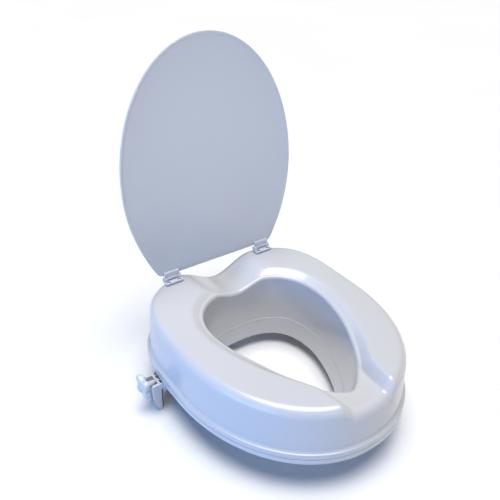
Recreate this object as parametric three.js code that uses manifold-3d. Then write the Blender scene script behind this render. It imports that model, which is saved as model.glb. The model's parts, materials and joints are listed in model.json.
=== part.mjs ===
// Raised toilet seat with a hinged lid and two side clamps.
// Millimetres, +Z up. The user's front is towards -Y, and the lid's hinges are towards +Y.
// The origin is the middle of the base's underside, which rests over the bowl's rim.
import * as THREE from 'three';
import { mergeVertices } from 'three/addons/utils/BufferGeometryUtils.js';
import Module from 'manifold-3d';

const wasm = await Module();
wasm.setup();

// ---------- driving dimensions ----------
const GAP = 0.3; // left between pieces that touch

// body, seen from above: two half superellipses that meet at the widest line
const BODY = { halfWidth: 200, front: 255, rear: 211, frontPower: 2.1, rearPower: 3.3 };
const WIDEST_Y = 23;
const BODY_HEIGHT = 102;
const GROOVE_HEIGHT = 9.7; // top of the base's band
const FLANGE_BOTTOM = GROOVE_HEIGHT + 0.6;
const LEDGE_HEIGHT = 19.8;
const LEDGE_TOP = 24;
const WALL_INSET = 5.2; // ledge's depth
const WALL_DRAFT = 2.6; // how far the wall leans in by its top
const TOP_ROUNDING = { front: 16, rear: 12 };
const REAR_RISE = { height: 5, start: 60, end: 190 }; // how much higher the seat is behind
const SHELL_THICKNESS = 3.4;

// opening, seen from above, at the height where the dish ends; its widest line is behind the body's
const OPENING = { y: 38, halfWidth: 114, front: 213, rear: 100, frontPower: 1.5, rearPower: 2.6, height: 86 };
const SIDE_DRAFT = 0.09; // how much narrower each way per millimetre of depth
const REAR_DRAFT = 0.025;
const FRONT_SLOPE = 0.18; // the front wall leans more the lower it is
const FRONT_SLOPE_GROWTH = 0.0005;
const INNER_ROUNDING = 7;
const WALL_FOOT = 3.4; // height of the inner wall's lower edge
const GUARD_DEPTH = 36; // splash guard's reach below the base
const GUARD_STEP = 1.4;

// seating surface
const DISH = { width: 22, slope: 24, depth: 14 };
const FRONT_RECESS = { halfWidth: 47, flare: 0.12, start: -40, depth: 19, extraDip: 5, slope: 16 };
const REAR_RECESS = { halfWidth: 85, floor: 80, fall: 6 };
const BASE_PLATE = 3;
const EAR_HEIGHT = BODY_HEIGHT + REAR_RISE.height; // where the hinges stand
const FOOT_BOSS_BOTTOM = EAR_HEIGHT - 20; // under each screw of the hinges' feet
const FOOT_BOSS_TOP = EAR_HEIGHT - 3;
const BAND_THICKNESS = 3.2;

// lid, seen from the front when open; heights are measured from the hinge axis
const HINGE = { y: 207.5, z: 114.2, x: 102, width: 36, barrelRadius: 3.6, pinRadius: 1.8 };
const LID = {
  halfWidth: 178, widest: 182, length: 425, bottomHalfWidth: 125, topPower: 2.02, sidePower: 2,
  bottom: 4.7, face: 2, thickness: 3.2, lip: 1.6, dome: 8,
};
const LID_LEAN = THREE.MathUtils.degToRad(5.8);
const LEAF_SCREW_CLEARANCE = 0.5; // between the screws' heads and the lid's domed back

// clamps
const CLAMP = {
  y: 95, screwZ: -5.8, outer: 217.5, width: 34, thickness: 11, web: 4, webOuter: 205.5,
  prongEnd: 184, prongWidth: 8.6, cheek: 5.5, legBottom: -60, legThickness: 3.6,
  knobRadius: 23, knobThickness: 10, knobInner: 223, hubRadius: 5.5,
};
const GUIDE = {
  inner: 170, outer: 198, floorOuter: 181.6, bottom: -14.6, floorTop: -11.6, railGap: 0.4, railWidth: 4,
  housingInner: 172, housingHalf: 7.8, pocketHalf: 5.6, earInner: 175, earOuter: 189, earReach: 15, earBottom: -4,
};
const NUT = { inner: 174.5, outer: 179.5, half: 5.3 };
const STUD = { start: 173.5, radius: 3.5, hole: 3.9, inKnob: 4.6 };
const CLAMP_PAD = { thickness: 3, half: 15, bottom: -57, top: -15 };

const white = { color: 0xeeeff3, roughness: 0.28, metalness: 0 };
const hingeWhite = { color: 0xe6e9ef, roughness: 0.35, metalness: 0 };
const rubberGrey = { color: 0x5b5f63, roughness: 0.9, metalness: 0 };
const steel = { color: 0xb4b8bd, roughness: 0.3, metalness: 0.9 };

const seat = new THREE.Group();

function add(name, geometry, look, parent = seat) {
  const mesh = new THREE.Mesh(geometry, new THREE.MeshStandardMaterial(look));
  mesh.name = name;
  parent.add(mesh);
  return mesh;
}

// ---------- solids ----------
function bare(geometry) {
  const plain = geometry.clone();
  for (const name of Object.keys(plain.attributes)) {
    if (name !== 'position') plain.deleteAttribute(name);
  }
  return mergeVertices(plain, 1e-4);
}

function toSolid(geometry) {
  const g = bare(geometry);
  const mesh = new wasm.Mesh({
    numProp: 3,
    vertProperties: new Float32Array(g.attributes.position.array),
    triVerts: new Uint32Array(g.index.array),
  });
  return new wasm.Manifold(mesh);
}

function toGeometry(solid) {
  const mesh = solid.getMesh();
  const g = new THREE.BufferGeometry();
  g.setAttribute('position', new THREE.BufferAttribute(new Float32Array(mesh.vertProperties), 3));
  g.setIndex(new THREE.BufferAttribute(new Uint32Array(mesh.triVerts), 1));
  g.computeVertexNormals();
  return g;
}

const union = (...parts) => toGeometry(parts.map(toSolid).reduce((a, b) => a.add(b)));

function cut(body, tools) {
  return toGeometry(tools.map(toSolid).reduce((a, b) => a.subtract(b), toSolid(body)));
}

function box(x0, x1, y0, y1, z0, z1) {
  const g = new THREE.BoxGeometry(Math.abs(x1 - x0), Math.abs(y1 - y0), Math.abs(z1 - z0));
  return g.translate((x0 + x1) / 2, (y0 + y1) / 2, (z0 + z1) / 2);
}

// round bar between two heights on a vertical axis
function postZ(x, y, z0, z1, radius, sides = 16) {
  const g = new THREE.CylinderGeometry(radius, radius, z1 - z0, sides).rotateX(Math.PI / 2);
  return g.translate(x, y, (z0 + z1) / 2);
}

// round bar along X
function barX(x0, x1, y, z, radius, sides = 16) {
  const g = new THREE.CylinderGeometry(radius, radius, Math.abs(x1 - x0), sides).rotateZ(Math.PI / 2);
  return g.translate((x0 + x1) / 2, y, z);
}

// outline in a plane, given in order and extruded along the third axis
function plate(outline, depth) {
  const shape = new THREE.Shape(outline.map(([u, v]) => new THREE.Vector2(u, v)));
  return new THREE.ExtrudeGeometry(shape, { depth, bevelEnabled: false });
}

// pan-head screw along Z, its head's underside at z = 0 and its shank towards +Z
function screw(shankRadius, length, headRadius, headHeight) {
  const tip = shankRadius * 0.5;
  const profile = [
    [0, -headHeight], [headRadius * 0.8, -headHeight], [headRadius, -headHeight * 0.5], [headRadius, 0],
    [shankRadius, 0], [shankRadius, length - tip], [tip, length], [0, length],
  ];
  const points = profile.map(([r, z]) => new THREE.Vector2(r, z));
  return new THREE.LatheGeometry(points, 12).rotateX(Math.PI / 2);
}

// closed skin through rows of points; each row is a closed loop, and the rows close on themselves
function loft(rows) {
  const count = rows[0].length;
  const index = [];
  rows.forEach((row, i) => {
    const next = (i + 1) % rows.length;
    for (let j = 0; j < count; j++) {
      const k = (j + 1) % count;
      index.push(i * count + j, next * count + j, next * count + k);
      index.push(i * count + j, next * count + k, i * count + k);
    }
  });
  return facingOut(rows.flat(2), index);
}

// closed skin through rings that run from one pole to the other
function loftBetweenPoles(first, rings, last) {
  const count = rings[0].length;
  const positions = [...first, ...rings.flat(2), ...last];
  const lastPole = 1 + rings.length * count;
  const index = [];
  for (let j = 0; j < count; j++) {
    const k = (j + 1) % count;
    index.push(0, 1 + k, 1 + j);
    const end = 1 + (rings.length - 1) * count;
    index.push(lastPole, end + j, end + k);
    for (let i = 0; i + 1 < rings.length; i++) {
      const a = 1 + i * count;
      const b = a + count;
      index.push(a + j, a + k, b + k, a + j, b + k, b + j);
    }
  }
  return facingOut(positions, index);
}

function facingOut(positions, index) {
  let volume = 0;
  const at = (i) => new THREE.Vector3().fromArray(positions, i * 3);
  for (let t = 0; t < index.length; t += 3) {
    volume += at(index[t]).dot(at(index[t + 1]).cross(at(index[t + 2])));
  }
  if (volume < 0) index.reverse();
  const g = new THREE.BufferGeometry();
  g.setAttribute('position', new THREE.Float32BufferAttribute(positions, 3));
  g.setIndex(index);
  g.computeVertexNormals();
  return g;
}

// ---------- outlines: distances from the point (0, centre) in the direction of an angle ----------
function superellipse(angle, across, front, rear, frontPower, rearPower) {
  const toRear = Math.sin(angle) > 0;
  const along = toRear ? rear : front;
  const power = toRear ? rearPower : frontPower;
  const x = Math.abs(Math.cos(angle)) / across;
  const y = Math.abs(Math.sin(angle)) / along;
  return (x ** power + y ** power) ** (-1 / power);
}

function outerRadius(angle, inset) {
  const { halfWidth, front, rear, frontPower, rearPower } = BODY;
  return superellipse(angle, halfWidth - inset, front - inset, rear - inset, frontPower, rearPower);
}

// the opening's own outline, from (0, OPENING.y)
function openingOutline(angle, z, inset) {
  const depth = OPENING.height - z;
  const across = OPENING.halfWidth - SIDE_DRAFT * depth - inset;
  const front = OPENING.front - FRONT_SLOPE * depth - FRONT_SLOPE_GROWTH * depth * depth - inset;
  const rear = OPENING.rear - REAR_DRAFT * depth - inset;
  return superellipse(angle, across, front, rear, OPENING.frontPower, OPENING.rearPower);
}

// the same outline as distances from (0, WIDEST_Y), found by halving
function openingRadius(angle, z, inset = 0) {
  let low = 0;
  let high = OPENING.front + OPENING.rear;
  for (let i = 0; i < 30; i++) {
    const r = (low + high) / 2;
    const x = r * Math.cos(angle);
    const y = r * Math.sin(angle) + WIDEST_Y - OPENING.y;
    if (Math.hypot(x, y) < openingOutline(Math.atan2(y, x), z, inset)) low = r;
    else high = r;
  }
  return (low + high) / 2;
}

const clamp01 = (t) => Math.min(1, Math.max(0, t));
const ease = (t) => clamp01(t) ** 2 * (3 - 2 * clamp01(t));
const larger = (a, b, blend) => (a + b + Math.hypot(a - b, blend)) / 2;

// 0 outside, 1 inside, straight between with soft corners
const ramp = (t, soft) => (Math.hypot(t, soft) - Math.hypot(t - 1, soft) + 1) / 2;

// height of the seating surface over a point
function topHeight(x, y) {
  const angle = Math.atan2(y - WIDEST_Y, x);
  const radius = Math.hypot(x, y - WIDEST_Y);
  const opening = openingRadius(angle, OPENING.height);
  const dish = opening + DISH.width - radius;
  const toFront = ease((FRONT_RECESS.start - y) / 60);
  const spread = FRONT_RECESS.halfWidth + FRONT_RECESS.flare * (y + BODY.front - WIDEST_Y);
  const steepness = DISH.slope / FRONT_RECESS.slope;
  const channel = toFront * (spread - Math.abs(x)) * steepness - (1 - toFront) * BODY.halfWidth;
  const inside = larger(dish, channel, 10);
  const depth = DISH.depth + (FRONT_RECESS.depth - DISH.depth) * ease((-60 - y) / 90);
  const dip = FRONT_RECESS.extraDip * toFront * ease((dish + 30) / 50);
  const front = (depth + dip) * ramp(inside / DISH.slope, 0.12 - 0.04 * toFront);
  const crest = BODY_HEIGHT + REAR_RISE.height * ease((y - REAR_RISE.start) / (REAR_RISE.end - REAR_RISE.start));
  const floor = REAR_RECESS.floor - REAR_RECESS.fall * clamp01((y - 140) / 75);
  const rear = (crest - floor) * (1 - ease(Math.abs(x) / REAR_RECESS.halfWidth)) * ease((y - 88) / 55);
  const crown = 2 * clamp01((radius - opening - DISH.width) / 70) ** 2 * (1 - ease((y - 60) / 100));
  return crest - larger(front, rear, 3) - crown;
}

// ---------- seat shell ----------
const ROUND_STEPS = 4;
const TOP_STEPS = 9;
const WALL_STEPS = 3;

// outside of one upright section, from the flange's lower edge over the top and down the inner wall
function shellSection(angle) {
  const along = [Math.cos(angle), Math.sin(angle)];
  const heightAt = (r) => topHeight(along[0] * r, WIDEST_Y + along[1] * r);
  const wallInset = WALL_INSET + WALL_DRAFT;
  const rounding = TOP_ROUNDING.front + (TOP_ROUNDING.rear - TOP_ROUNDING.front) * ease(Math.sin(angle) * 1.4);
  const wall = outerRadius(angle, wallInset);
  const edge = outerRadius(angle, wallInset + rounding);
  const edgeHeight = heightAt(edge);
  const points = [
    [outerRadius(angle, 0), FLANGE_BOTTOM],
    [outerRadius(angle, 0), LEDGE_HEIGHT - 1],
    [outerRadius(angle, 1), LEDGE_HEIGHT],
    [outerRadius(angle, WALL_INSET), LEDGE_TOP],
    [outerRadius(angle, (WALL_INSET + wallInset) / 2), (LEDGE_TOP + edgeHeight - rounding) / 2],
  ];
  for (let i = 0; i <= ROUND_STEPS; i++) {
    const t = (i / ROUND_STEPS) * (Math.PI / 2);
    points.push([
      wall + (edge - wall) * (1 - Math.cos(t)),
      edgeHeight - rounding * (1 - Math.sin(t)),
    ]);
  }
  const lip = openingRadius(angle, OPENING.height) + INNER_ROUNDING;
  for (let i = 1; i <= TOP_STEPS; i++) {
    const r = edge + (lip - edge) * (i / TOP_STEPS);
    points.push([r, heightAt(r)]);
  }
  const lipHeight = heightAt(lip);
  const wallTop = lipHeight - INNER_ROUNDING;
  for (let i = 1; i <= ROUND_STEPS; i++) {
    const t = (i / ROUND_STEPS) * (Math.PI / 2);
    const foot = openingRadius(angle, wallTop);
    points.push([lip + (foot - lip) * Math.sin(t), lipHeight - INNER_ROUNDING * (1 - Math.cos(t))]);
  }
  for (let i = 1; i <= WALL_STEPS; i++) {
    const z = wallTop + (WALL_FOOT - wallTop) * (i / WALL_STEPS);
    points.push([openingRadius(angle, z), z]);
  }
  return points;
}

// the same section moved inwards by the wall's thickness
function offsetSection(points, thickness) {
  return points.map(([r, z], i) => {
    const before = points[Math.max(0, i - 1)];
    const after = points[Math.min(points.length - 1, i + 1)];
    const step = [after[0] - before[0], after[1] - before[1]];
    const length = Math.hypot(...step);
    const end = i === 0 || i === points.length - 1;
    const moved = r - (step[1] / length) * thickness;
    return [moved, end ? z : z + (step[0] / length) * thickness];
  });
}

// angles round the body, closer together at the front and rear recesses
function sectionAngles() {
  const angles = [];
  const count = 72;
  for (let i = 0; i < count; i++) {
    const t = (i / count) * 2 * Math.PI;
    angles.push(t - Math.PI / 2 - 0.25 * Math.sin(2 * t));
  }
  return angles;
}

function loftSections(section) {
  return loft(sectionAngles().map((angle) => section(angle).map(([r, z]) => [
    Math.cos(angle) * r, WIDEST_Y + Math.sin(angle) * r, z,
  ])));
}

const mirrored = (points) => points.flatMap(([x, y]) => [[x, y], [-x, y]]);
const bossPositions = mirrored([[160, 40], [146, -70], [84, -165]]);
const guideScrewPositions = mirrored([[182, CLAMP.y - 26], [182, CLAMP.y + 26]]);
const footScrewPositions = mirrored([[HINGE.x - 11, HINGE.y - 8.5], [HINGE.x + 11, HINGE.y - 8.5]]);

function seatShell() {
  const wall = loftSections((angle) => {
    const outside = shellSection(angle);
    const inside = offsetSection(outside, SHELL_THICKNESS).filter((point, i) => (
      i === 0 || i === outside.length - 1 || i % 2 === 0));
    return [...outside, ...inside.reverse()];
  });
  const bosses = bossPositions.map(([x, y]) => (
    postZ(x, y, BASE_PLATE + GAP, topHeight(x, y) - 1.5, 5.5)));
  const footBosses = footScrewPositions.map(([x, y]) => postZ(x, y, FOOT_BOSS_BOTTOM, FOOT_BOSS_TOP, 4.5, 12));
  const holes = bossPositions.map(([x, y]) => postZ(x, y, 0, 24, 2.2, 12));
  const footHoles = footScrewPositions.map(([x, y]) => postZ(x, y, FOOT_BOSS_BOTTOM + 2, EAR_HEIGHT + 5, 2.2, 12));
  return cut(union(wall, ...bosses, ...footBosses), [...holes, ...footHoles]);
}

// ---------- base ring: band, plate and splash guard ----------
function baseSection(angle) {
  const outer = outerRadius(angle, 0);
  const guard = (z, inset) => openingRadius(angle, z, inset);
  const inner = GUARD_STEP;
  const outerFace = GUARD_STEP - BAND_THICKNESS;
  return [
    [outer - 1, 0], [outer, 1], [outer, GROOVE_HEIGHT],
    [outer - BAND_THICKNESS, GROOVE_HEIGHT], [outer - BAND_THICKNESS, BASE_PLATE],
    [guard(BASE_PLATE, inner), BASE_PLATE], [guard(-GUARD_DEPTH / 2, inner), -GUARD_DEPTH / 2],
    [guard(-GUARD_DEPTH, inner), -GUARD_DEPTH], [guard(-GUARD_DEPTH, outerFace), -GUARD_DEPTH],
    [guard(-GUARD_DEPTH / 2, outerFace), -GUARD_DEPTH / 2], [guard(0, outerFace), 0],
  ];
}

function baseRing() {
  const guideBosses = guideScrewPositions.map(([x, y]) => postZ(x, y, 1, 11, 4, 12));
  const holes = bossPositions.map(([x, y]) => postZ(x, y, -1, BASE_PLATE + 1, 2.6, 12));
  const guideHoles = guideScrewPositions.map(([x, y]) => postZ(x, y, -1, 10, 1.9, 12));
  return cut(union(loftSections(baseSection), ...guideBosses), [...holes, ...guideHoles]);
}

// ---------- lid, in its own frame: hinge axis at the origin, +Z up the lid, +Y to its back ----------
const LID_SEGMENTS = 72;

function lidEdge(angle) {
  const across = Math.cos(angle);
  const up = Math.sin(angle);
  if (up >= 0) {
    const rise = LID.length - LID.widest;
    const power = LID.topPower;
    const r = ((Math.abs(across) / LID.halfWidth) ** power + (up / rise) ** power) ** (-1 / power);
    return [across * r, LID.widest + up * r];
  }
  // below the widest line the sides draw in to a straight lower edge with round corners
  const drop = LID.widest - LID.bottom;
  const sideAt = (t) => LID.halfWidth - (LID.halfWidth - LID.bottomHalfWidth) * t ** LID.sidePower;
  let low = 0;
  let high = 1;
  for (let i = 0; i < 40; i++) {
    const t = (low + high) / 2;
    const inside = sideAt(t) * -up > Math.abs(across) * t * drop;
    if (inside) low = t;
    else high = t;
  }
  const t = low;
  const corner = 0.06;
  const soft = t > 1 - corner ? 1 - (t - 1 + corner) / corner : 1;
  const inset = 8 * (1 - Math.sqrt(1 - (1 - soft) ** 2));
  return [Math.sign(across) * Math.min(Math.abs(across / up) * t * drop, sideAt(t) - inset),
    LID.widest - t * drop];
}

function lid() {
  const edge = [];
  for (let i = 0; i < LID_SEGMENTS; i++) edge.push(lidEdge((i / LID_SEGMENTS) * 2 * Math.PI));
  const centre = [0, LID.widest + 20];
  const inner = LID.face;
  const outer = LID.face + LID.thickness;
  // rings shrink towards the centre; the dome is deepest there
  const ring = (scale, inset, depth) => edge.map(([x, s]) => {
    const away = [x - centre[0], s - centre[1]];
    const length = Math.hypot(...away);
    const k = scale * (1 - inset / length);
    const lift = LID.dome * (1 - scale * scale);
    return [centre[0] + away[0] * k, depth(s) + lift, centre[1] + away[1] * k];
  });
  const lipAt = (s) => inner - LID.lip * ease((s - 22) / 40);
  const flat = (y) => () => y;
  const rings = [
    ring(0.35, 0, flat(inner)), ring(0.7, 0, flat(inner)), ring(1, 4.5, flat(inner)),
    ring(1, 3, (s) => lipAt(s) - 0.02), ring(1, 0.8, (s) => lipAt(s) - 0.2),
    ring(1, 0, (s) => lipAt(s) + 0.9), ring(1, 0, flat(outer - 1.6)), ring(1, 1.8, flat(outer)),
    ring(0.7, 0, flat(outer)), ring(0.35, 0, flat(outer)),
  ];
  const body = loftBetweenPoles(
    [centre[0], inner + LID.dome, centre[1]], rings, [centre[0], outer + LID.dome, centre[1]]);
  const holes = leafScrewPositions.map(([x, s]) => alongY(x, s, inner - 3, outer + 6, 1.9));
  return cut(body, holes);
}

// round bar along Y in the lid's frame
function alongY(x, z, y0, y1, radius, sides = 12) {
  const g = new THREE.CylinderGeometry(radius, radius, y1 - y0, sides);
  return g.translate(x, (y0 + y1) / 2, z);
}

const leafScrewPositions = [-1, 1].flatMap((side) => (
  [-8, 8].map((shift) => [side * HINGE.x + shift, LID.bottom + 4.2])));

// ---------- hinges ----------
const KNUCKLE = HINGE.width / 2 - 8; // half of the middle barrel's length, and where the outer ones start
const KNUCKLE_GAP = 0.2; // at each end of a barrel
const PIN_HOLE = HINGE.pinRadius + 0.25;
const FOOT_BOTTOM = EAR_HEIGHT + GAP;
const FOOT_TOP = FOOT_BOTTOM + 3;
const FOOT = { front: 13, rear: 2, cheekFront: 4.6, screwHole: 2.3 }; // from the pin's line
const FOOT_HEAD = { radius: 3.2, height: 1.2 }; // screw heads, sunk in the foot

function hingeFoot(side) {
  const { x, y, z, width, barrelRadius } = HINGE;
  const middle = side * x;
  const half = width / 2;
  const parts = [box(middle - half, middle + half, y - FOOT.front, y + FOOT.rear, FOOT_BOTTOM, FOOT_TOP)];
  for (const end of [-1, 1]) {
    const from = middle + end * (KNUCKLE + KNUCKLE_GAP);
    const to = middle + end * half;
    parts.push(barX(from, to, y, z, barrelRadius));
    parts.push(box(from, to, y - FOOT.cheekFront, y + FOOT.rear, FOOT_BOTTOM, z));
  }
  const holes = footScrewPositions.filter(([fx]) => Math.sign(fx) === side).flatMap(([fx, fy]) => [
    postZ(fx, fy, FOOT_BOTTOM - 5, FOOT_TOP + 5, FOOT.screwHole, 12),
    postZ(fx, fy, FOOT_TOP - FOOT_HEAD.height - GAP, FOOT_TOP + 5, FOOT_HEAD.radius + GAP, 16),
  ]);
  return cut(union(...parts), [...holes, barX(middle - 30, middle + 30, y, z, PIN_HOLE)]);
}

// the leaf moves with the lid, so it is made in the lid's frame
function hingeLeaf(side) {
  const middle = side * HINGE.x;
  const half = HINGE.width / 2 - 3;
  const back = LID.face - GAP;
  const front = -2.4;
  const low = LID.bottom + 0.3;
  const high = LID.bottom + 8;
  const bevel = 1.6;
  const block = plate([
    [back, low], [front, low], [front, high - bevel], [front + bevel, high], [back, high],
  ], 2 * half);
  // the outline's axes are Y and Z, so it is turned until it runs along X
  block.applyMatrix4(new THREE.Matrix4().makeBasis(
    new THREE.Vector3(0, 1, 0), new THREE.Vector3(0, 0, 1), new THREE.Vector3(1, 0, 0)));
  block.translate(middle - half, 0, 0);
  const reach = KNUCKLE - KNUCKLE_GAP;
  const barrel = barX(middle - reach, middle + reach, 0, 0, HINGE.barrelRadius);
  const neck = box(middle - reach, middle + reach, front, 1.2, 0, low + 1);
  const holes = leafScrewPositions.filter(([x]) => Math.sign(x) === side)
    .map(([x, s]) => alongY(x, s, front + 1.4, LID.face + 2, 1.6));
  holes.push(barX(middle - 30, middle + 30, 0, 0, PIN_HOLE));
  return cut(union(block, barrel, neck), holes);
}

// ---------- clamps ----------
function clampBracket(side) {
  const { y, outer, width, web, webOuter, prongEnd, legBottom, screwZ, thickness } = CLAMP;
  const top = -GAP;
  const bottom = top - thickness;
  const front = y - width / 2;
  const rear = y + width / 2;
  const prong = CLAMP.prongWidth;
  const { cheek } = CLAMP;
  const parts = [box(side * (webOuter - web), side * webOuter, front, rear, bottom, top)];
  for (const [from, to] of [[front, front + prong], [rear - prong, rear]]) {
    parts.push(box(side * (webOuter - 1), side * prongEnd, from, to, bottom, top));
  }
  // leg: a plate with a tapering rib along each side
  const plateInner = webOuter - CLAMP.legThickness;
  parts.push(box(side * plateInner, side * webOuter, front + 1, rear - 1, legBottom + 2, bottom + 1));
  const rib = [
    [plateInner, top], [outer - 2, top], [outer, top - 2], [outer - 0.6, -28], [outer - 3, -42],
    [plateInner + 5, legBottom], [plateInner + 1.5, legBottom], [plateInner, legBottom + 3],
  ].map(([x, z]) => [side * x, z]);
  for (const from of [front, rear - cheek]) {
    const shape = plate(rib, cheek).rotateX(Math.PI / 2);
    parts.push(shape.translate(0, from + cheek, 0));
  }
  // two pockets in the top of each prong, with a rib between them
  const skin = 2.2;
  const pocketWidth = prong - 2 * skin + 0.2;
  const pockets = [front + skin, rear - skin - pocketWidth].flatMap((from) => (
    [[prongEnd + 2, prongEnd + 8.5], [prongEnd + 10.7, webOuter - 5.1]].map(([a, b]) => (
      box(side * a, side * b, from, from + pocketWidth, bottom + 2.5, top + 1)))));
  const hole = barX(side * (webOuter - 15), side * (webOuter + 6), y, screwZ, STUD.hole);
  return cut(union(...parts), [...pockets, hole]);
}

function clampGuide(side) {
  const { y, width, screwZ } = CLAMP;
  const { inner, outer, floorOuter, bottom, floorTop, railWidth, pocketHalf } = GUIDE;
  const rail = width / 2 + GUIDE.railGap;
  const reach = rail + railWidth;
  const parts = [
    box(side * inner, side * floorOuter, y - reach, y + reach, bottom, floorTop),
    box(side * GUIDE.housingInner, side * floorOuter, y - GUIDE.housingHalf, y + GUIDE.housingHalf,
      floorTop - 1, -GAP),
  ];
  for (const end of [-1, 1]) {
    parts.push(box(side * inner, side * outer, y + end * rail, y + end * reach, bottom, -GAP));
    parts.push(box(side * GUIDE.earInner, side * GUIDE.earOuter, y + end * (reach - 1),
      y + end * (rail + GUIDE.earReach), GUIDE.earBottom, -GAP));
  }
  const tools = [
    barX(side * (inner - 10), side * (outer + 2), y, screwZ, STUD.hole),
    box(side * (NUT.inner - GAP), side * (NUT.outer + GAP), y - pocketHalf, y + pocketHalf,
      floorTop + 0.2, 1),
    ...guideScrewPositions.filter(([x]) => Math.sign(x) === side)
      .map(([x, gy]) => postZ(x, gy, -20, 5, 1.9, 12)),
  ];
  return cut(union(...parts), tools);
}

function squareNut(side) {
  const { y, screwZ } = CLAMP;
  const { inner, outer, half } = NUT;
  const body = box(side * inner, side * outer, y - half, y + half, screwZ - half, screwZ + half);
  return cut(body, [barX(side * (inner - 4), side * (outer + 6), y, screwZ, STUD.radius + 0.35)]);
}

function washer(side) {
  const { y, screwZ, webOuter } = CLAMP;
  const disc = barX(side * (webOuter + GAP), side * (webOuter + 1.5), y, screwZ, 5.4);
  return cut(disc, [barX(side * (webOuter - 5), side * (webOuter + 5), y, screwZ, STUD.hole)]);
}

function retainingRing(side) {
  const { y, screwZ, webOuter, web } = CLAMP;
  const face = webOuter - web - GAP;
  const disc = barX(side * (face - 1.2), side * face, y, screwZ, 5.4);
  return cut(disc, [barX(side * (face - 5), side * (face + 5), y, screwZ, STUD.radius + GAP)]);
}

function knob(side) {
  const { y, screwZ, knobRadius, knobThickness, knobInner, webOuter } = CLAMP;
  const lobe = 4;
  const outline = [];
  const count = 40;
  for (let i = 0; i < count; i++) {
    const t = (i / count) * 2 * Math.PI;
    const r = knobRadius - lobe + lobe * Math.cos(4 * (t - Math.PI / 4));
    outline.push([r * Math.cos(t), r * Math.sin(t)]);
  }
  const shape = new THREE.Shape(outline.map(([u, v]) => new THREE.Vector2(u, v)));
  const disc = new THREE.ExtrudeGeometry(shape, {
    depth: knobThickness - 3, bevelThickness: 1.5, bevelSize: 1.5, bevelOffset: -1.5, bevelSegments: 2,
  });
  disc.translate(0, 0, 1.5).rotateY(side * Math.PI / 2).translate(side * knobInner, y, screwZ);
  const hub = barX(side * (webOuter + 1.8), side * (knobInner + 2), y, screwZ, CLAMP.hubRadius);
  return cut(union(disc, hub), [barX(side * 190, side * (knobInner + 5), y, screwZ, STUD.radius + GAP)]);
}

function stud(side) {
  const { y, screwZ, knobInner } = CLAMP;
  return barX(side * STUD.start, side * (knobInner + STUD.inKnob), y, screwZ, STUD.radius);
}

// ---------- rubber pads under the base ----------
function gripPad(x, y, turn) {
  const half = [24, 8];
  const outline = [];
  for (const end of [1, -1]) {
    for (let i = 0; i <= 6; i++) {
      const t = -Math.PI / 2 + (i / 6) * Math.PI;
      outline.push([end * (half[0] + half[1] * Math.cos(t)), end * half[1] * Math.sin(t)]);
    }
  }
  const height = 4;
  return plate(outline, height).rotateZ(turn).translate(x, y, -GAP - height);
}

// ---------- assembly ----------
add('seat_shell', seatShell(), white);
add('base_ring', baseRing(), white);
bossPositions.forEach(([x, y], i) => {
  const fastener = screw(2, 16, 4, 2.2).translate(x, y, -GAP);
  add(`base_screw_${i + 1}`, fastener, steel);
});
const padPlaces = [[150, -8, 90], [-150, -8, 90], [104, 118, 130], [-104, 118, 50]];
padPlaces.forEach(([x, y, turn], i) => {
  add(`grip_pad_${i + 1}`, gripPad(x, y, THREE.MathUtils.degToRad(turn)), rubberGrey);
});

const lidGroup = new THREE.Group();
lidGroup.position.set(0, HINGE.y, HINGE.z);
lidGroup.rotation.x = -LID_LEAN;
seat.add(lidGroup);
add('lid', lid(), white, lidGroup);

const sides = [['left', -1], ['right', 1]];
for (const [word, side] of sides) {
  add(`hinge_foot_${word}`, hingeFoot(side), hingeWhite);
  const pinHalf = HINGE.width / 2 - 1;
  const pin = barX(side * HINGE.x - pinHalf, side * HINGE.x + pinHalf, HINGE.y, HINGE.z, HINGE.pinRadius);
  add(`hinge_pin_${word}`, pin, steel);
  add(`hinge_leaf_${word}`, hingeLeaf(side), hingeWhite, lidGroup);
  footScrewPositions.filter(([x]) => Math.sign(x) === side).forEach(([x, y], i) => {
    const fastener = screw(1.9, 15, FOOT_HEAD.radius, FOOT_HEAD.height).rotateX(Math.PI);
    fastener.translate(x, y, FOOT_TOP - FOOT_HEAD.height);
    add(`hinge_foot_screw_${word}_${i + 1}`, fastener, steel);
  });
  leafScrewPositions.filter(([x]) => Math.sign(x) === side).forEach(([x, s], i) => {
    const head = LID.face + LID.thickness + GAP + LEAF_SCREW_CLEARANCE;
    const fastener = screw(1.3, 6.2, 3, 1.4).rotateX(Math.PI / 2).translate(x, head, s);
    add(`hinge_leaf_screw_${word}_${i + 1}`, fastener, steel, lidGroup);
  });

  add(`clamp_guide_${word}`, clampGuide(side), white);
  guideScrewPositions.filter(([x]) => Math.sign(x) === side).forEach(([x, y], i) => {
    add(`clamp_guide_screw_${word}_${i + 1}`, screw(1.5, 12, 3, 1.6).translate(x, y, -4 - GAP), steel);
  });
  add(`clamp_nut_${word}`, squareNut(side), steel);
  add(`clamp_bracket_${word}`, clampBracket(side), white);
  const padOuter = CLAMP.webOuter - CLAMP.legThickness - GAP;
  const padInner = padOuter - CLAMP_PAD.thickness;
  const [padFront, padRear] = [CLAMP.y - CLAMP_PAD.half, CLAMP.y + CLAMP_PAD.half];
  const legPad = box(side * padInner, side * padOuter, padFront, padRear, CLAMP_PAD.bottom, CLAMP_PAD.top);
  add(`clamp_pad_${word}`, legPad, rubberGrey);
  add(`clamp_washer_${word}`, washer(side), steel);
  add(`clamp_ring_${word}`, retainingRing(side), steel);
  add(`clamp_knob_${word}`, knob(side), white);
  add(`clamp_stud_${word}`, stud(side), steel);
}

export default seat;
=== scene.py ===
"""Raised toilet seat: the visual model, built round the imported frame. Metres, +Z up, front towards -Y."""

import json
import math

import bmesh
import bpy
import numpy as np
from mathutils import Matrix, Vector


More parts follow.
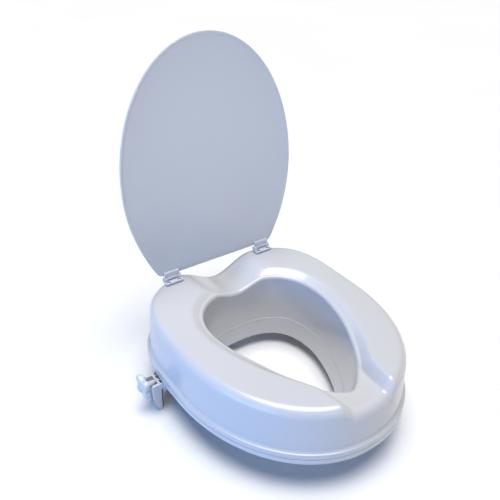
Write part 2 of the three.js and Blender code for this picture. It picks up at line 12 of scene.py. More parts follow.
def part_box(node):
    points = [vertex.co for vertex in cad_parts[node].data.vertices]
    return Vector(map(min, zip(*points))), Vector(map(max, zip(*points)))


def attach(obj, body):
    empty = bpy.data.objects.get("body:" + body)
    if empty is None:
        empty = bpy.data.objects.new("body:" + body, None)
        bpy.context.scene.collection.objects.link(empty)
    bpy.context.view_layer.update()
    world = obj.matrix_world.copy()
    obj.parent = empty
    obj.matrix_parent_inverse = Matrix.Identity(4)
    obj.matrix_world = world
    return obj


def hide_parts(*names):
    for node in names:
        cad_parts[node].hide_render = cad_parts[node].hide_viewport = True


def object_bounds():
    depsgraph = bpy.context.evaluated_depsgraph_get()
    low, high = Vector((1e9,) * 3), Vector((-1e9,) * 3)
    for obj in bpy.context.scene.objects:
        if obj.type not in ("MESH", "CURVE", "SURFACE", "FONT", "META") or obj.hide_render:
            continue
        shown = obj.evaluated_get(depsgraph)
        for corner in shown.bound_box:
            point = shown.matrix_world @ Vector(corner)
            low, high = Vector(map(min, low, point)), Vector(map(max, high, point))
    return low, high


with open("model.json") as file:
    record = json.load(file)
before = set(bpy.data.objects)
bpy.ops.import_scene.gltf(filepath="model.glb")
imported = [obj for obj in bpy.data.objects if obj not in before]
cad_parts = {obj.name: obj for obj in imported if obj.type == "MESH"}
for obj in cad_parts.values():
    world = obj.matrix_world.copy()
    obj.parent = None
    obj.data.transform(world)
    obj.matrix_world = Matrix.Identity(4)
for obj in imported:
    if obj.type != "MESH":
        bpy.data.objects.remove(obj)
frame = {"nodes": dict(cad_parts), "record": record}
cad_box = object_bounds()

MM = 0.001

# ---------- sizes in millimetres, the same as the solids' ----------
GAP = 0.3
SIDES = (("left", -1), ("right", 1))

# body, seen from above: two half superellipses that meet at the widest line
HALF_WIDTH = 200.0
FRONT = 255.0
REAR = 211.0
FRONT_POWER = 2.1
REAR_POWER = 3.3
WIDEST_Y = 23.0
BODY_HEIGHT = 102.0
GROOVE_HEIGHT = 9.7
FLANGE_BOTTOM = GROOVE_HEIGHT + 0.6
LEDGE_HEIGHT = 19.8
LEDGE_TOP = 24.0
WALL_INSET = 5.2
WALL_DRAFT = 2.6
ROUNDING_FRONT = 16.0
ROUNDING_REAR = 12.0
SHELL_THICKNESS = 3.4

# opening, at the height where the dish ends
OPEN_Y = 38.0
OPEN_HEIGHT = 86.0
OPEN_HALF = 114.0
OPEN_FRONT = 213.0
OPEN_REAR = 100.0
OPEN_FRONT_POWER = 1.5
OPEN_REAR_POWER = 2.6
SIDE_DRAFT = 0.09
REAR_DRAFT = 0.025
FRONT_SLOPE = 0.18
FRONT_SLOPE_GROWTH = 0.0005
INNER_ROUNDING = 7.0
WALL_FOOT = 3.4

# base ring and its splash guard
GUARD_DEPTH = 36.0
GUARD_STEP = 1.4
GUARD_FILLET = 3.0
BASE_PLATE = 3.0
BAND_THICKNESS = 3.2
BEAD_RADIUS = 2.0

# seating surface
DISH_WIDTH = 22.0
DISH_SLOPE = 24.0
DISH_DEPTH = 14.0
DISH_BLEND = 10.0
RECESS_HALF = 47.0
RECESS_FLARE = 0.12
RECESS_START = -40.0
RECESS_BLEND = 60.0
RECESS_DEPTH = 19.0
RECESS_DIP = 5.0
RECESS_SLOPE = 16.0
REAR_RISE = 5.0
RISE_START = 60.0
RISE_END = 190.0
REAR_RECESS_HALF = 85.0
REAR_RECESS_FLOOR = 80.0
REAR_RECESS_FALL = 6.0
REAR_RECESS_START = 88.0
REAR_RECESS_BLEND = 55.0
CROWN = 2.0

# lid; its heights are measured from the hinge's axis
HINGE_X = 102.0
HINGE_Y = 207.5
HINGE_Z = 114.2
LID_HALF = 178.0
LID_WIDEST = 182.0
LID_LENGTH = 425.0
LID_BOTTOM_HALF = 125.0
LID_TOP_POWER = 2.02
LID_SIDE_POWER = 2.0
LID_BOTTOM = 4.7
LID_FACE = 2.0
LID_THICKNESS = 3.2
LID_LIP = 1.6
LID_DOME = 8.0
LID_LEAN = math.radians(5.8)
GATE_HEIGHT = 218.0
LEAF_SCREW_SHIFT = 8.0
LEAF_SCREW_HEIGHT = 4.2
LEAF_SCREW_CLEARANCE = 0.5

# clamps
CLAMP_Y = 95.0
SCREW_Z = -5.8
WEB_OUTER = 205.5
KNOB_RADIUS = 23.0
KNOB_LOBE = 4.0
KNOB_THICKNESS = 10.0
KNOB_INNER = 223.0
HUB_START = WEB_OUTER + 1.8
HUB_RADIUS = 5.5
STUD_START = 173.5
STUD_END = KNOB_INNER + 4.6
STUD_RADIUS = 3.5
THREAD_PITCH = 3.0
THREAD_DEPTH = 0.9


# ---------- materials ----------
def shader(name):
    material = bpy.data.materials.new(name)
    material.use_nodes = True
    tree = material.node_tree
    return material, tree, tree.nodes["Principled BSDF"]


def noise(tree, scale, detail=3.0, roughness=0.5):
    """Noise over the piece's own coordinates, in metres."""
    coordinates = tree.nodes.new("ShaderNodeTexCoord")
    texture = tree.nodes.new("ShaderNodeTexNoise")
    texture.inputs["Scale"].default_value = scale
    texture.inputs["Detail"].default_value = detail
    texture.inputs["Roughness"].default_value = roughness
    tree.links.new(coordinates.outputs["Object"], texture.inputs["Vector"])
    return texture.outputs["Fac"]


def spread(tree, value, low, high):
    """Maps a noise value to a range."""
    node = tree.nodes.new("ShaderNodeMapRange")
    node.inputs["From Min"].default_value = 0.3
    node.inputs["From Max"].default_value = 0.7
    node.inputs["To Min"].default_value = low
    node.inputs["To Max"].default_value = high
    tree.links.new(value, node.inputs["Value"])
    return node.outputs["Result"]


def two_tone(tree, value, dark, light):
    ramp = tree.nodes.new("ShaderNodeValToRGB")
    ramp.color_ramp.elements[0].position = 0.35
    ramp.color_ramp.elements[1].position = 0.65
    ramp.color_ramp.elements[0].color = (*dark, 1)
    ramp.color_ramp.elements[1].color = (*light, 1)
    tree.links.new(value, ramp.inputs["Fac"])
    return ramp.outputs["Color"]


def bump(tree, value, distance, strength, below=None):
    node = tree.nodes.new("ShaderNodeBump")
    node.inputs["Distance"].default_value = distance
    node.inputs["Strength"].default_value = strength
    tree.links.new(value, node.inputs["Height"])
    if below is not None:
        tree.links.new(below, node.inputs["Normal"])
    return node.outputs["Normal"]


def moulded_plastic(name, colour, roughness, coat):
    """Glossy moulded plastic: a faint cloudiness, orange peel, broad sink marks and light handling scuffs."""
    material, tree, bsdf = shader(name)
    shade = [c * 0.992 for c in colour]
    tree.links.new(two_tone(tree, noise(tree, 7, 2), shade, colour), bsdf.inputs["Base Color"])
    scuffs = spread(tree, noise(tree, 60, 8, 0.72), roughness - 0.015, roughness + 0.02)
    tree.links.new(scuffs, bsdf.inputs["Roughness"])
    waves = bump(tree, noise(tree, 12, 1), 0.0004, 0.1)
    peel = bump(tree, noise(tree, 520, 2), 0.00004, 0.1, waves)
    tree.links.new(peel, bsdf.inputs["Normal"])
    bsdf.inputs["IOR"].default_value = 1.49
    bsdf.inputs["Coat Weight"].default_value = coat
    bsdf.inputs["Coat Roughness"].default_value = 0.12
    return material


def rubber(name, colour):
    """Matt rubber with a fine grain and a dusty bloom."""
    material, tree, bsdf = shader(name)
    dark = [c * 0.7 for c in colour]
    tree.links.new(two_tone(tree, noise(tree, 45, 6, 0.65), dark, colour), bsdf.inputs["Base Color"])
    tree.links.new(spread(tree, noise(tree, 90, 5), 0.62, 0.85), bsdf.inputs["Roughness"])
    tree.links.new(bump(tree, noise(tree, 1500, 3), 0.00012, 0.5), bsdf.inputs["Normal"])
    return material


def plated_steel(name, colour):
    """Zinc-plated steel: bright, with a slightly uneven passivated film."""
    material, tree, bsdf = shader(name)
    dark = [colour[0] * 0.8, colour[1] * 0.83, colour[2] * 0.9]
    tree.links.new(two_tone(tree, noise(tree, 130, 5, 0.6), dark, colour), bsdf.inputs["Base Color"])
    tree.links.new(spread(tree, noise(tree, 320, 6, 0.7), 0.22, 0.42), bsdf.inputs["Roughness"])
    tree.links.new(bump(tree, noise(tree, 900, 4), 0.00005, 0.35), bsdf.inputs["Normal"])
    bsdf.inputs["Metallic"].default_value = 1.0
    return material


BODY_LOOK = moulded_plastic("body_white", (0.53, 0.535, 0.555), 0.24, 0.25)
LID_LOOK = moulded_plastic("lid_white", (0.54, 0.555, 0.585), 0.25, 0.3)
HINGE_LOOK = moulded_plastic("hinge_white", (0.56, 0.575, 0.61), 0.3, 0.2)
CLAMP_LOOK = moulded_plastic("clamp_white", (0.53, 0.55, 0.59), 0.26, 0.3)
RUBBER_LOOK = rubber("grip_rubber", (0.075, 0.078, 0.082))
STEEL_LOOK = plated_steel("zinc_plate", (0.66, 0.67, 0.69))
LOOKS = {
    "body_plastic": BODY_LOOK, "lid_plastic": LID_LOOK, "hinge_plastic": HINGE_LOOK,
    "clamp_plastic": CLAMP_LOOK, "rubber_pads": RUBBER_LOOK, "plated_steel": STEEL_LOOK,
}
NODE_SLOT = {part["node"]: part["material_slot"] for part in frame["record"]["subparts"]}


# ---------- pieces ----------
def piece(name, vertices, faces, node, body, sharp=40.0, to_row=None):
    """A mesh given in millimetres that stands for a CAD node and rides on its body."""
    mesh = bpy.data.meshes.new(name)
    points = np.asarray(vertices, float) * MM
    mesh.from_pydata([tuple(p) for p in points], [], faces)
    if to_row is not None:
        mesh.transform(to_row)
    mesh.validate()
    return settle(name, mesh, node, body, sharp)


def settle(name, mesh, node, body, sharp):
    work = bmesh.new()
    work.from_mesh(mesh)
    bmesh.ops.recalc_face_normals(work, faces=work.faces)
    work.to_mesh(mesh)
    work.free()
    mesh.polygons.foreach_set("use_smooth", [True] * len(mesh.polygons))
    mesh.set_sharp_from_angle(angle=math.radians(sharp))
    thing = bpy.data.objects.new(name, mesh)
    bpy.context.scene.collection.objects.link(thing)
    mesh.materials.append(LOOKS[NODE_SLOT[node]])
    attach(thing, body)
    return thing


def rows_to_faces(row_count, column_count, close_rows=False):
    """Faces between neighbouring rows of points; each row is a closed loop."""
    faces = []
    for i in range(row_count if close_rows else row_count - 1):
        row = i * column_count
        following = (i + 1) % row_count * column_count
        for j in range(column_count):
            k = (j + 1) % column_count
            faces.append((row + j, following + j, following + k, row + k))
    return faces


def capped_rings(rings):
    """Vertices and faces of a skin through closed rings, with a fan over each end."""
    count = len(rings[0])
    vertices = [tuple(p) for ring in rings for p in ring]
    faces = rows_to_faces(len(rings), count)
    for ring, start in ((rings[0], 0), (rings[-1], (len(rings) - 1) * count)):
        middle = np.mean(np.asarray(ring, float), axis=0)
        vertices.append(tuple(middle))
        tip = len(vertices) - 1
        faces += [(tip, start + j, start + (j + 1) % count) for j in range(count)]
    return vertices, faces


def softened(node, body, width, segments=3):
    """A copy of a CAD node with rounded edges, which stands for it."""
    mesh = frame["nodes"][node].data.copy()
    mesh.name = "soft_" + node
    mesh.materials.clear()
    work = bmesh.new()
    work.from_mesh(mesh)
    bmesh.ops.remove_doubles(work, verts=work.verts, dist=1e-5)
    flat = math.radians(1.0)
    bmesh.ops.dissolve_limit(work, angle_limit=flat, verts=work.verts, edges=work.edges)
    work.to_mesh(mesh)
    work.free()
    thing = settle(node + "_visual", mesh, node, body, 180)
    edges = thing.modifiers.new("edges", "BEVEL")
    edges.width = width * MM
    edges.segments = segments
    edges.limit_method = "ANGLE"
    edges.angle_limit = math.radians(32)
    edges.miter_outer = "MITER_ARC"
    normals = thing.modifiers.new("normals", "WEIGHTED_NORMAL")
    normals.keep_sharp = True
    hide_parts(node)
    return thing


# ---------- outlines seen from above, as distances from (0, WIDEST_Y) ----------
def superellipse(angle, across, front, rear, front_power, rear_power):
    to_rear = np.sin(angle) > 0
    along = np.where(to_rear, rear, front)
    power = np.where(to_rear, rear_power, front_power)
    x = np.abs(np.cos(angle)) / across
    y = np.abs(np.sin(angle)) / along
    return (x ** power + y ** power) ** (-1 / power)


def outer_radius(angle, inset):
    return superellipse(angle, HALF_WIDTH - inset, FRONT - inset, REAR - inset, FRONT_POWER, REAR_POWER)


def opening_outline(angle, z, inset):
    """The opening's own outline, from (0, OPEN_Y)."""
    depth = OPEN_HEIGHT - z
    across = OPEN_HALF - SIDE_DRAFT * depth - inset
    front = OPEN_FRONT - FRONT_SLOPE * depth - FRONT_SLOPE_GROWTH * depth * depth - inset
    rear = OPEN_REAR - REAR_DRAFT * depth - inset
    return superellipse(angle, across, front, rear, OPEN_FRONT_POWER, OPEN_REAR_POWER)


def opening_radius(angle, z, inset=0.0):
    """The same outline from (0, WIDEST_Y), found by halving."""
    angle, z, inset = np.broadcast_arrays(np.asarray(angle, float), z, inset)
    low = np.zeros(angle.shape)
    high = np.full(angle.shape, OPEN_FRONT + OPEN_REAR)
    for _ in range(30):
        r = (low + high) / 2
        x = r * np.cos(angle)
        y = r * np.sin(angle) + WIDEST_Y - OPEN_Y
        inside = np.hypot(x, y) < opening_outline(np.arctan2(y, x), z, inset)
        low, high = np.where(inside, r, low), np.where(inside, high, r)
    return (low + high) / 2


def ease(t):
    t = np.clip(t, 0, 1)
    return t * t * (3 - 2 * t)


def larger(a, b, blend):
    return (a + b + np.hypot(a - b, blend)) / 2


def ramp(t, soft):
    """0 outside, 1 inside, straight between with soft corners."""
    return (np.hypot(t, soft) - np.hypot(t - 1, soft) + 1) / 2


def top_height(x, y):
    """Height of the seating surface over a point."""
    angle = np.arctan2(y - WIDEST_Y, x)
    radius = np.hypot(x, y - WIDEST_Y)
    opening = opening_radius(angle, OPEN_HEIGHT)
    dish = opening + DISH_WIDTH - radius
    to_front = ease((RECESS_START - y) / RECESS_BLEND)
    half = RECESS_HALF + RECESS_FLARE * (y + FRONT - WIDEST_Y)
    steepness = DISH_SLOPE / RECESS_SLOPE
    channel = to_front * (half - np.abs(x)) * steepness - (1 - to_front) * HALF_WIDTH
    inside = larger(dish, channel, DISH_BLEND)
    depth = DISH_DEPTH + (RECESS_DEPTH - DISH_DEPTH) * ease((-60 - y) / 90)
    dip = RECESS_DIP * to_front * ease((dish + 30) / 50)
    front = (depth + dip) * ramp(inside / DISH_SLOPE, 0.12 - 0.04 * to_front)
    crest = BODY_HEIGHT + REAR_RISE * ease((y - RISE_START) / (RISE_END - RISE_START))
    floor = REAR_RECESS_FLOOR - REAR_RECESS_FALL * np.clip((y - 140) / 75, 0, 1)
    hollow = (1 - ease(np.abs(x) / REAR_RECESS_HALF)) * ease((y - REAR_RECESS_START) / REAR_RECESS_BLEND)
    rear = (crest - floor) * hollow
    outwards = np.clip((radius - opening - DISH_WIDTH) / 70, 0, 1)
    crown = CROWN * outwards ** 2 * (1 - ease((y - RISE_START) / 100))
    return crest - larger(front, rear, 3) - crown


def round_angles(count):
    t = np.arange(count) / count * 2 * math.pi
    return t - math.pi / 2 - 0.25 * np.sin(2 * t)


def arc(start, end, steps):
    """Evenly spaced values from start to end, both included."""
    return [start + (end - start) * i / steps for i in range(steps + 1)]


# ---------- seat shell ----------
ANGLES = 288


def shell_rows():
    angle = round_angles(ANGLES)
    cos, sin = np.cos(angle), np.sin(angle)

    def height(r):
        return top_height(cos * r, WIDEST_Y + sin * r)

    inset = WALL_INSET + WALL_DRAFT
    rounding = ROUNDING_FRONT + (ROUNDING_REAR - ROUNDING_FRONT) * ease(np.sin(angle) * 1.4)
    wall, edge = outer_radius(angle, inset), outer_radius(angle, inset + rounding)
    edge_height = height(edge)
    rows = []
    # flange with a rounded lower and upper edge
    low_edge, top_edge = 0.7, 1.5
    for t in arc(0, math.pi / 2, 3):
        z = FLANGE_BOTTOM + low_edge * (1 - math.cos(t))
        rows.append((outer_radius(angle, low_edge * (1 - math.sin(t))), z))
    for t in arc(0, math.pi / 2, 5):
        z = LEDGE_HEIGHT - top_edge * (1 - math.sin(t))
        rows.append((outer_radius(angle, top_edge * (1 - math.cos(t))), z))
    # ledge, with a fillet up into the wall
    rows.append((outer_radius(angle, (top_edge + WALL_INSET) / 2), LEDGE_HEIGHT + 1.2))
    for t in arc(0, 1, 5):
        rows.append((outer_radius(angle, WALL_INSET - 1.2 + 1.2 * t * (2 - t)), LEDGE_TOP - 2.0 + 3.4 * t * t))
    low = LEDGE_TOP + 1.4
    high = edge_height - rounding
    for t in arc(0, 1, 8)[1:-1]:
        rows.append((outer_radius(angle, WALL_INSET + WALL_DRAFT * t), low + (high - low) * t))
    for t in arc(0, math.pi / 2, 12):
        rows.append((wall + (edge - wall) * (1 - math.cos(t)), high + rounding * math.sin(t)))
    lip = opening_radius(angle, OPEN_HEIGHT) + INNER_ROUNDING
    for t in arc(0, 1, 44)[1:]:
        r = edge + (lip - edge) * t
        rows.append((r, height(r)))
    lip_height = height(lip)
    wall_top = lip_height - INNER_ROUNDING
    foot = opening_radius(angle, wall_top)
    for t in arc(0, math.pi / 2, 12)[1:]:
        rows.append((lip + (foot - lip) * math.sin(t), lip_height - INNER_ROUNDING * (1 - math.cos(t))))
    for t in arc(0, 1, 14)[1:]:
        z = wall_top + (WALL_FOOT - wall_top) * t
        rows.append((opening_radius(angle, z), z))
    rows = [(np.broadcast_to(r, angle.shape), np.broadcast_to(z, angle.shape)) for r, z in rows]
    # the underside follows the outside at the wall's thickness
    radius = np.array([r for r, _ in rows])
    level = np.array([z for _, z in rows])
    step_r, step_z = np.gradient(radius, axis=0), np.gradient(level, axis=0)
    length = np.maximum(np.hypot(step_r, step_z), 1e-6)
    under_r = radius - step_z / length * SHELL_THICKNESS
    under_z = level + step_r / length * SHELL_THICKNESS
    under_z[0], under_z[-1] = level[0], level[-1]
    keep = list(range(0, len(rows), 3))
    if keep[-1] != len(rows) - 1:
        keep.append(len(rows) - 1)
    radius = np.concatenate([radius, under_r[keep][::-1]])
    level = np.concatenate([level, under_z[keep][::-1]])
    return angle, radius, level


def ring_vertices(angle, radius, level):
    x = np.cos(angle) * radius
    y = WIDEST_Y + np.sin(angle) * radius
    return np.stack([x, y, level], axis=-1).reshape(-1, 3)


def build_shell():
    angle, radius, level = shell_rows()
    vertices = ring_vertices(angle, radius, level)
    faces = rows_to_faces(len(radius), len(angle), close_rows=True)
    shell = piece("seat_shell_visual", vertices, faces, "seat_shell", "seat", 60)
    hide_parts("seat_shell")


# ---------- base ring ----------
def build_base():
    angle = round_angles(ANGLES)
    rows = []
    outer = outer_radius(angle, 0)

    def guard(z, inset):
        return opening_radius(angle, z, inset)

    for t in arc(0, math.pi / 2, 4):
        rows.append((outer - 1.2 * (1 - math.sin(t)), 1.2 * (1 - math.cos(t))))
    for t in arc(0, math.pi / 2, 3):
        rows.append((outer - 0.6 * (1 - math.cos(t)), GROOVE_HEIGHT - 0.6 * (1 - math.sin(t))))
    rows.append((outer - BAND_THICKNESS, GROOVE_HEIGHT))
    rows.append((outer - BAND_THICKNESS, BASE_PLATE))
    rows.append((guard(BASE_PLATE, -6.0), BASE_PLATE))
    # rolled bead where the splash guard meets the shell's inner wall
    for t in arc(0, math.pi, 8):
        rows.append((guard(BASE_PLATE, GUARD_STEP * math.sin(t / 2) ** 1.5 + 0.5 * math.sin(t)),
                     BASE_PLATE - BEAD_RADIUS * (1 - math.cos(t))))
    low = BASE_PLATE - 2 * BEAD_RADIUS
    for t in arc(0, 1, 10)[1:]:
        z = low + (-GUARD_DEPTH + 1.2 - low) * t
        rows.append((guard(z, GUARD_STEP), z))
    face = GUARD_STEP - BAND_THICKNESS
    middle, half = (GUARD_STEP + face) / 2, BAND_THICKNESS / 2
    for t in arc(0, math.pi, 6)[1:-1]:
        lower = guard(-GUARD_DEPTH, middle + half * math.cos(t))
        rows.append((lower, -GUARD_DEPTH + 1.2 * (1 - math.sin(t))))
    for t in arc(0, 1, 8):
        z = -GUARD_DEPTH + 1.2 + (GUARD_DEPTH - 4.2) * t
        rows.append((guard(z, face), z))
    for t in arc(0, math.pi / 2, 4)[1:]:
        rows.append((guard(0, face) + GUARD_FILLET * (1 - math.cos(t)), GUARD_FILLET * (math.sin(t) - 1)))
    rows = [(np.broadcast_to(r, angle.shape), np.broadcast_to(z, angle.shape)) for r, z in rows]
    radius = np.array([r for r, _ in rows])
    level = np.array([z for _, z in rows])
    vertices = ring_vertices(angle, radius, level)
    faces = rows_to_faces(len(radius), len(angle), close_rows=True)
    base = piece("base_ring_visual", vertices, faces, "base_ring", "seat", 50)
    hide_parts("base_ring")


# ---------- lid, in its own frame: hinge axis at the origin, +Z up the lid, +Y to its back ----------
LID_TO_ROW = Matrix.Translation((0, HINGE_Y * MM, HINGE_Z * MM)) @ Matrix.Rotation(-LID_LEAN, 4, "X")


def lid_edge(angle):
    across, up = math.cos(angle), math.sin(angle)
    if up >= 0:
        power = LID_TOP_POWER
        rise = LID_LENGTH - LID_WIDEST
        r = ((abs(across) / LID_HALF) ** power + (up / rise) ** power) ** (-1 / power)
        return across * r, LID_WIDEST + up * r
    drop = LID_WIDEST - LID_BOTTOM

    def side(t):
        return LID_HALF - (LID_HALF - LID_BOTTOM_HALF) * t ** LID_SIDE_POWER

    low, high = 0.0, 1.0
    for _ in range(40):
        t = (low + high) / 2
        if side(t) * -up > abs(across) * t * drop:
            low = t
        else:
            high = t
    t = low
    corner = 0.06
    soft = 1 - (t - 1 + corner) / corner if t > 1 - corner else 1
    inset = 8 * (1 - math.sqrt(max(0.0, 1 - (1 - soft) ** 2)))
    return math.copysign(min(abs(across / up) * t * drop, side(t) - inset), across), LID_WIDEST - t * drop


def build_lid():
    count = 360
    edge = np.array([lid_edge(i / count * 2 * math.pi) for i in range(count)])
    centre = np.array([0.0, LID_WIDEST + 20])
    away = edge - centre
    length = np.hypot(away[:, 0], away[:, 1])
    lip = LID_FACE - LID_LIP * ease((edge[:, 1] - 22) / 40)

    def ring(scale, inset, depth):
        k = scale * (1 - inset / length)
        lift = LID_DOME * (1 - scale * scale)
        flat = centre + away * k[:, None]
        return np.stack([flat[:, 0], np.broadcast_to(depth, length.shape) + lift, flat[:, 1]], axis=-1)

    outer = LID_FACE + LID_THICKNESS
    rings = [ring(s, 0, LID_FACE) for s in (0.08, 0.2, 0.35, 0.5, 0.65, 0.8, 0.9)]
    rings += [ring(1, 9, LID_FACE), ring(1, 5.6, LID_FACE)]
    step = LID_FACE - lip
    rings += [ring(1, 4.6, LID_FACE - step * 0.25), ring(1, 3.9, LID_FACE - step * 0.7)]
    rings += [ring(1, 3.2, lip + 0.25), ring(1, 2.4, lip + 0.02), ring(1, 1.3, lip + 0.02)]
    for t in arc(0, math.pi / 2, 3):
        rings.append(ring(1, 0.9 * (1 - math.sin(t)), lip + 0.9 * (1 - math.cos(t)) + 0.02))
    rings += [ring(1, 0, (lip + outer) / 2), ring(1, 0, outer - 2.4)]
    for t in arc(0, math.pi / 2, 5)[1:]:
        rings.append(ring(1, 2.4 * (1 - math.cos(t)), outer - 2.4 * (1 - math.sin(t))))
    rings += [ring(s, 0, outer) for s in (0.93, 0.8, 0.65, 0.5, 0.35, 0.2, 0.08)]
    vertices, faces = capped_rings(rings)
    lid = piece("lid_visual", vertices, faces, "lid", "lid", 55, LID_TO_ROW)
    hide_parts("lid")
    # moulding gate mark on the lid's inner face
    profile = [(3.0, 0.25), (2.7, -0.25), (2.2, -0.45), (1.3, -0.4), (1.0, -0.1), (0.4, -0.05)]
    scale = (GATE_HEIGHT - centre[1]) / (LID_BOTTOM - centre[1])
    face = LID_FACE + LID_DOME * (1 - scale * scale)
    turns = [i / 32 * 2 * math.pi for i in range(32)]
    rings = [[(r * math.cos(t), face + d, GATE_HEIGHT + r * math.sin(t)) for t in turns] for r, d in profile]
    vertices, faces = capped_rings(rings)
    piece("lid_gate_mark", vertices, faces, "lid", "lid", 60, LID_TO_ROW)


# ---------- knobs ----------
def along_x(side, x, points):
    """Points (u, v) of a ring across the screw's axis, at distance x from the middle."""
    return [(side * x, CLAMP_Y + u, SCREW_Z + v) for u, v in points]


def build_knob(word, side):
    count = 144
    turns = [i / count * 2 * math.pi for i in range(count)]

    def outline(inset, wave=1.0):
        points = []
        for t in turns:
            r = KNOB_RADIUS - inset - KNOB_LOBE + KNOB_LOBE * wave * math.cos(4 * (t - math.pi / 4))
            points.append((r * math.cos(t), r * math.sin(t)))
        return points

    def circle(r):
        return [(r * math.cos(t), r * math.sin(t)) for t in turns]

    inner, outer = KNOB_INNER, KNOB_INNER + KNOB_THICKNESS
    rings = [along_x(side, HUB_START, circle(HUB_RADIUS - 0.8)),
             along_x(side, HUB_START + 0.7, circle(HUB_RADIUS)),
             along_x(side, inner - 2.5, circle(HUB_RADIUS)), along_x(side, inner - 0.8, circle(6.3)),
             along_x(side, inner, circle(8.0)), along_x(side, inner, outline(4.2, 0.8))]
    for t in arc(0, math.pi / 2, 6):
        rings.append(along_x(side, inner + 3.2 * (1 - math.cos(t)), outline(3.2 * (1 - math.sin(t)))))
    for t in arc(0, math.pi / 2, 6):
        rings.append(along_x(side, outer - 3.4 * (1 - math.sin(t)), outline(3.4 * (1 - math.cos(t)))))
    rings += [along_x(side, outer, circle(9.4)), along_x(side, outer - 0.4, circle(8.6)),
              along_x(side, outer - 0.9, circle(8.2)), along_x(side, outer - 0.9, circle(7.0)),
              along_x(side, outer - 0.2, circle(6.2)), along_x(side, outer - 0.1, circle(2.0))]
    vertices, faces = capped_rings(rings)
    knob = piece(f"clamp_knob_{word}_visual", vertices, faces, f"clamp_knob_{word}", f"knob_{word}", 50)
    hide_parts(f"clamp_knob_{word}")


def build_stud(word, side):
    """Screw with a real helix, inside the plain stud's outline."""
    count = 40
    steps = int((STUD_END - STUD_START) / THREAD_PITCH * 8)
    turns = [i / count * 2 * math.pi for i in range(count)]
    rings = []
    for i in range(steps + 1):
        x = STUD_START + (STUD_END - STUD_START) * i / steps
        fade = min(1.0, (x - STUD_START) / 1.5, (STUD_END - x) / 1.5)
        ring = []
        for j, t in enumerate(turns):
            phase = (x / THREAD_PITCH - j / count) % 1.0
            r = STUD_RADIUS - THREAD_DEPTH * abs(2 * phase - 1) - 0.8 * (1 - max(0.0, fade))
            ring.append((r * math.cos(t), r * math.sin(t)))
        rings.append(along_x(side, x, ring))
    vertices, faces = capped_rings(rings)
    stud = piece(f"clamp_stud_{word}_visual", vertices, faces, f"clamp_stud_{word}", f"knob_{word}", 60)
    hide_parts(f"clamp_stud_{word}")


# ---------- screws ----------
def cross_radius(t, arm, half):
    """Distance to the edge of a cross recess in direction t."""
    quarter = abs((t + math.pi / 4) % (math.pi / 2) - math.pi / 4)
    if math.tan(quarter) <= half / arm:
        return arm / math.cos(quarter)
    return half / math.sin(quarter)


def build_screw(node, body, shank, length, head, height, place):
    """Pan-head screw with a cross recess; place takes its own frame, shank along +Z, to the row's."""
    count = 96
    turns = [i / count * 2 * math.pi for i in range(count)]

    def circle(r, z):
        return [(r * math.cos(t), r * math.sin(t), z) for t in turns]

    def cross(scale, z):
        edge = [cross_radius(t, head * 0.52 * scale, head * 0.14 * scale) for t in turns]
        return [(r * math.cos(t), r * math.sin(t), z) for r, t in zip(edge, turns)]

    recess = height * 0.75
    rings = [cross(0.35, -height + recess), cross(0.8, -height + recess * 0.8), cross(1, -height + 0.02)]
    rings += [circle(head * 0.66, -height)]
    for t in arc(0, math.pi / 2, 4):
        rings.append(circle(head * (0.7 + 0.3 * math.sin(t)), -height * (0.25 + 0.75 * math.cos(t))))
    rings += [circle(head, -0.05), circle(head - 0.15, 0), circle(shank, 0)]
    rings += [circle(shank, length - shank), circle(shank * 0.5, length)]
    vertices, faces = capped_rings(rings)
    screw = piece(node + "_visual", vertices, faces, node, body, 35, place)
    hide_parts(node)


def screw_place(node, height, head_up, spin):
    """Place of an upright screw, from its CAD box and its head's height."""
    low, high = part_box(node)
    middle = (low + high) / 2
    turn = Matrix.Rotation(spin, 4, "Z")
    if head_up:
        level = high.z - height * MM
        turn = Matrix.Rotation(math.pi, 4, "X") @ turn
    else:
        level = low.z + height * MM
    return Matrix.Translation((middle.x, middle.y, level)) @ turn


def build_screws():
    # start of the name, shank's radius, length, head's radius and height, whether the head is up
    kinds = (
        ("base_screw_", 2.0, 16.0, 4.0, 2.2, False),
        ("hinge_foot_screw_", 1.9, 15.0, 3.2, 1.2, True),
        ("clamp_guide_screw_", 1.5, 12.0, 3.0, 1.6, False),
    )
    spin = 0.4
    for start, shank, length, head, height, head_up in kinds:
        for node in sorted(n for n in frame["nodes"] if n.startswith(start)):
            place = screw_place(node, height, head_up, spin)
            build_screw(node, "seat", shank, length, head, height, place)
            spin += 1.1
    head_level = LID_FACE + LID_THICKNESS + GAP + LEAF_SCREW_CLEARANCE
    for word, side in SIDES:
        for i, shift in enumerate((-LEAF_SCREW_SHIFT, LEAF_SCREW_SHIFT)):
            x = side * HINGE_X * MM + shift * MM
            local = Matrix.Translation((x, head_level * MM, (LID_BOTTOM + LEAF_SCREW_HEIGHT) * MM))
            place = LID_TO_ROW @ local @ Matrix.Rotation(math.pi / 2, 4, "X") @ Matrix.Rotation(spin, 4, "Z")
            build_screw(f"hinge_leaf_screw_{word}_{i + 1}", "lid", 1.3, 6.2, 3.0, 1.4, place)
            spin += 0.8


# ---------- build ----------
build_shell()
build_base()
build_lid()
build_screws()
for word, side in SIDES:
    build_knob(word, side)
    build_stud(word, side)
    softened(f"hinge_foot_{word}", "seat", 0.5)
    softened(f"hinge_leaf_{word}", "lid", 0.6)
    softened(f"clamp_bracket_{word}", f"clamp_{word}", 0.7)
    softened(f"clamp_guide_{word}", "seat", 0.2, 2)
    softened(f"clamp_pad_{word}", f"clamp_{word}", 0.8)
    softened(f"clamp_nut_{word}", "seat", 0.4)
for i in range(4):
    softened(f"grip_pad_{i + 1}", "seat", 1.0)
for name, node in frame["nodes"].items():
    node.data.materials.clear()
    node.data.materials.append(LOOKS[NODE_SLOT[name]])


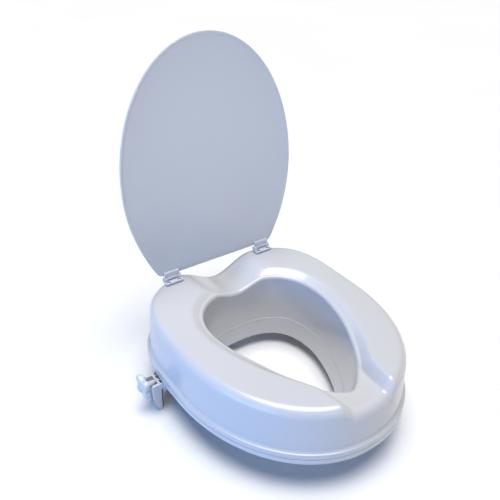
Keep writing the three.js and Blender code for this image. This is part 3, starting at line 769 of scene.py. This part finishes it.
# ---------- floor, light and camera ----------
def studio_floor():
    low = cad_box[0][2]
    mesh = bpy.data.meshes.new("floor")
    reach = 40.0
    corners = [(-reach, -reach, low), (reach, -reach, low), (reach, reach, low), (-reach, reach, low)]
    mesh.from_pydata(corners, [], [(0, 1, 2, 3)])
    floor = bpy.data.objects.new("floor", mesh)
    bpy.context.scene.collection.objects.link(floor)
    material, tree, bsdf = shader("floor_white")
    tone = two_tone(tree, noise(tree, 1.5, 2), (0.745, 0.75, 0.755), (0.76, 0.76, 0.765))
    tree.links.new(tone, bsdf.inputs["Base Color"])
    bsdf.inputs["Roughness"].default_value = 0.9
    bsdf.inputs["Specular IOR Level"].default_value = 0.1
    mesh.materials.append(material)


def aimed(name, data, place, target):
    lamp = bpy.data.objects.new(name, data)
    lamp.location = place
    lamp.rotation_euler = (Vector(target) - Vector(place)).to_track_quat("-Z", "Y").to_euler()
    bpy.context.scene.collection.objects.link(lamp)


def area_light(name, place, target, size, power, colour):
    data = bpy.data.lights.new(name, "AREA")
    data.shape = "RECTANGLE"
    data.size, data.size_y = size
    data.energy = power
    data.color = colour
    aimed(name, data, place, target)


def soft_sun(name, lean, strength, spread_degrees, colour):
    """Even light from above, leaning by the given amounts towards +X and +Y."""
    data = bpy.data.lights.new(name, "SUN")
    data.energy = strength
    data.angle = math.radians(spread_degrees)
    data.color = colour
    aimed(name, data, (0, 0, 0), (lean[0], lean[1], -1))


def lid_spot(name, place, target, power, colour):
    """Soft-edged light that reaches only the open lid."""
    data = bpy.data.lights.new(name, "SPOT")
    data.energy = power
    data.color = colour
    data.spot_size = math.radians(22)
    data.spot_blend = 0.6
    data.shadow_soft_size = 0.25
    aimed(name, data, place, target)


def studio_light():
    world = bpy.data.worlds.new("studio")
    bpy.context.scene.world = world
    world.use_nodes = True
    background = world.node_tree.nodes["Background"]
    background.inputs["Color"].default_value = (0.86, 0.92, 1.0, 1)
    background.inputs["Strength"].default_value = 0.12
    soft_sun("overhead", (0.02, 0.03), 3.9, 44, (1.0, 0.985, 0.985))
    lid_spot("lid fill", (-0.35, -1.5, 0.95), (0, 0.235, 0.36), 26, (0.96, 0.98, 1.0))
    area_light("left", (-1.8, -0.35, 0.35), (0, 0, 0.05), (1.2, 0.6), 22, (0.02, 0.34, 1.0))


def studio_camera():
    place = Vector((-0.5679, -0.6693, 0.7766))
    azimuth, elevation, roll = math.radians(-36.3), math.radians(31.4), math.radians(1.5)
    back = Vector((math.sin(azimuth) * math.cos(elevation), -math.cos(azimuth) * math.cos(elevation),
                   math.sin(elevation)))
    right = Vector((math.cos(azimuth), math.sin(azimuth), 0))
    up = back.cross(right)
    right, up = (right * math.cos(roll) + up * math.sin(roll), up * math.cos(roll) - right * math.sin(roll))
    data = bpy.data.cameras.new("camera")
    data.sensor_width = 36.0
    data.lens = 45.9
    camera = bpy.data.objects.new("camera", data)
    rotation = Matrix((right, up, back)).transposed()
    camera.matrix_world = Matrix.Translation(place) @ rotation.to_4x4()
    bpy.context.scene.collection.objects.link(camera)
    bpy.context.scene.camera = camera


studio_floor()
studio_light()
studio_camera()
bpy.context.scene.view_settings.view_transform = "Standard"

bpy.context.view_layer.update()
